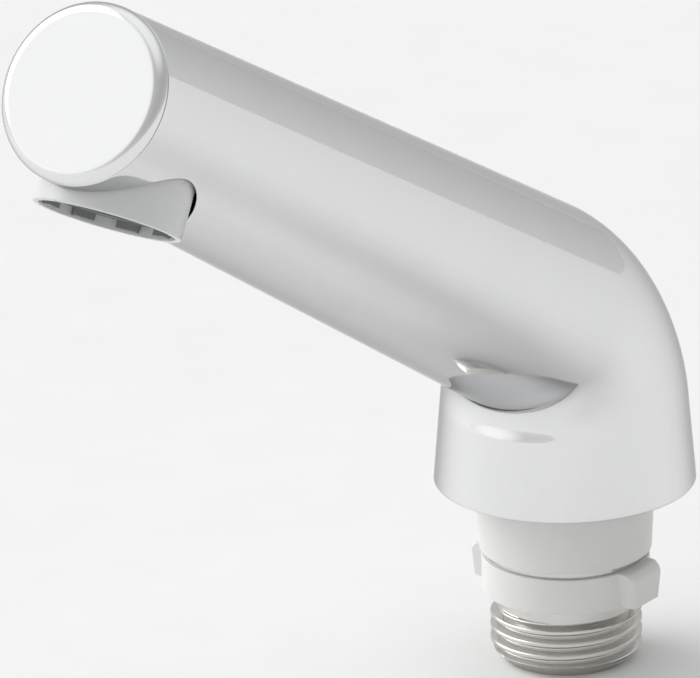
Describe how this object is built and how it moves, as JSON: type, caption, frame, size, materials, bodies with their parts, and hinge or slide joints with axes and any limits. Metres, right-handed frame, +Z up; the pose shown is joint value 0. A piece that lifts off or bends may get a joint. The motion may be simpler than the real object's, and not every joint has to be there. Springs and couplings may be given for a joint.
{
  "type": "pull-out spout",
  "caption": "Bent tapering spout with a side-locked guide neck and a male hose nipple, a recessed aerator in a round outlet collar, and a check valve inside.",
  "frame": {"origin": "centre of the foot rim, where the spout seats on the tap body", "axes": "+Z up the leg, the arm runs towards -Y and rises, +X across the arm"},
  "size_m": [0.0362, 0.1395, 0.1272],
  "materials": {
    "chrome": "polished",
    "pale_plastic": "satin",
    "grey_plastic": "satin",
    "white_plastic": "smooth",
    "rubber": "matte",
    "plated_brass": "satin nickel plate",
    "steel": "fine"
  },
  "bodies": {
    "spout": {"spout_body": "chrome", "end_cap": "chrome", "cap_o_ring": "rubber", "outlet_socket": "pale_plastic", "aerator_seal": "rubber", "aerator_housing": "grey_plastic", "flow_regulator": "rubber", "diffuser_plate": "white_plastic", "screen_coarse": "steel", "screen_fine": "steel", "stream_grille": "grey_plastic", "water_tube": "white_plastic", "outlet_o_ring": "rubber", "inlet_o_ring": "rubber", "guide_sleeve": "pale_plastic", "retaining_ring": "steel", "clamp_nut": "plated_brass", "key_ring": "pale_plastic", "hose_nipple": "plated_brass", "check_valve_housing": "white_plastic", "check_valve_o_ring": "rubber", "check_valve_guide": "grey_plastic", "valve_spring": "steel", "valve_snap_ring": "steel"},
    "valve": {"valve_poppet": "white_plastic", "poppet_seal": "rubber"}
  },
  "joints": [
    {"name": "valve_lift", "type": "slide", "parent": "spout", "child": "valve", "axis": [0, 0, 1], "range_m": [0, 0.0025], "stiffness_N_per_m": 40, "springref_m": -0.003, "deforming": ["valve_spring"]}
  ]
}
